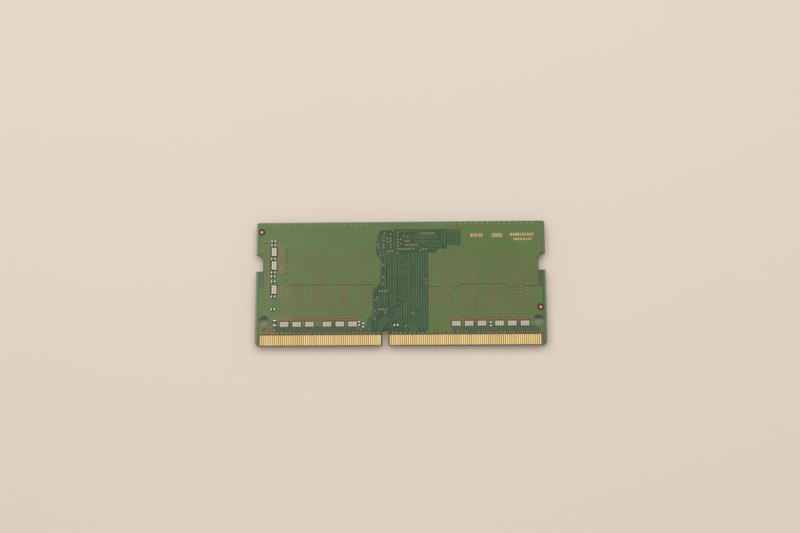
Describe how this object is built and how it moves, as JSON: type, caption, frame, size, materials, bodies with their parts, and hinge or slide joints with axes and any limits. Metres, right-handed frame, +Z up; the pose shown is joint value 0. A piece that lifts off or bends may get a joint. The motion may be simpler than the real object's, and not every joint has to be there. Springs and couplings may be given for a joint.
{
  "type": "memory module",
  "caption": "Small-outline memory module: green laminated board with gold edge contacts, key slot, latch notches, resistor arrays and memory packages under it.",
  "frame": {"origin": "centre of the underside of the bounding box, under the middle of the board", "axes": "+X along the contact edge, +Y from the contact edge to the far edge, +Z up, out of the rear face; the module lies with its memory packages down"},
  "size_m": [0.0696, 0.03, 0.0028],
  "materials": {
    "laminate": "woven glass and resin, matt cut edge",
    "copper": "etched foil",
    "solder_mask": "semi-gloss green lacquer",
    "gold_contact": "bright gold plating",
    "gold_mark": "thin gold plating",
    "bare_copper": "bare matt copper",
    "label_paper": "coated label paper, blank",
    "mould_compound": "fine matt epoxy",
    "silicon": "polished wafer",
    "adhesive_film": "thin film",
    "package_substrate": "satin laminate",
    "solder": "bright tin alloy",
    "tinned_terminal": "matt tin plating",
    "array_ceramic": "fired alumina",
    "array_glaze": "resistor overglaze",
    "chip_body_dark": "dark fired body",
    "capacitor_ceramic": "tan fired body"
  },
  "bodies": {
    "root": {"board_core": "laminate", "prepreg_rear": "laminate", "prepreg_front": "laminate", "ground_plane": "copper", "power_plane": "copper", "copper_rear": "copper", "copper_front": "copper", "mask_rear": "solder_mask", "mask_front": "solder_mask", "via_caps_rear": "solder_mask", "via_caps_front": "solder_mask", "contacts_rear_left": "gold_contact", "contacts_rear_right": "gold_contact", "contacts_front_left": "gold_contact", "contacts_front_right": "gold_contact", "board_marks": "gold_mark", "fiducials": "bare_copper", "label": "label_paper", "dram_1_mould": "mould_compound", "dram_1_die": "silicon", "dram_1_attach_film": "adhesive_film", "dram_1_substrate": "package_substrate", "dram_1_balls": "solder", "dram_2_mould": "mould_compound", "dram_2_die": "silicon", "dram_2_attach_film": "adhesive_film", "dram_2_substrate": "package_substrate", "dram_2_balls": "solder", "dram_3_mould": "mould_compound", "dram_3_die": "silicon", "dram_3_attach_film": "adhesive_film", "dram_3_substrate": "package_substrate", "dram_3_balls": "solder", "dram_4_mould": "mould_compound", "dram_4_die": "silicon", "dram_4_attach_film": "adhesive_film", "dram_4_substrate": "package_substrate", "dram_4_balls": "solder", "spd_memory_body": "mould_compound", "spd_memory_leads": "tinned_terminal", "array_bank_1_ceramics": "array_ceramic", "array_bank_1_terminals": "tinned_terminal", "array_bank_2_ceramics": "array_ceramic", "array_bank_2_terminals": "tinned_terminal", "array_bank_3_ceramics": "array_ceramic", "array_bank_3_terminals": "tinned_terminal", "array_bank_4_ceramics": "array_ceramic", "array_bank_4_terminals": "tinned_terminal", "array_bank_5_ceramics": "array_ceramic", "array_bank_5_terminals": "tinned_terminal", "array_glaze": "array_glaze", "chip_bodies_rear": "chip_body_dark", "chip_ends_rear": "tinned_terminal", "capacitor_bodies_front": "capacitor_ceramic", "capacitor_ends_front": "tinned_terminal", "termination_bodies_front": "chip_body_dark", "termination_ends_front": "tinned_terminal", "solder_rear": "solder", "solder_front": "solder"}
  },
  "joints": []
}
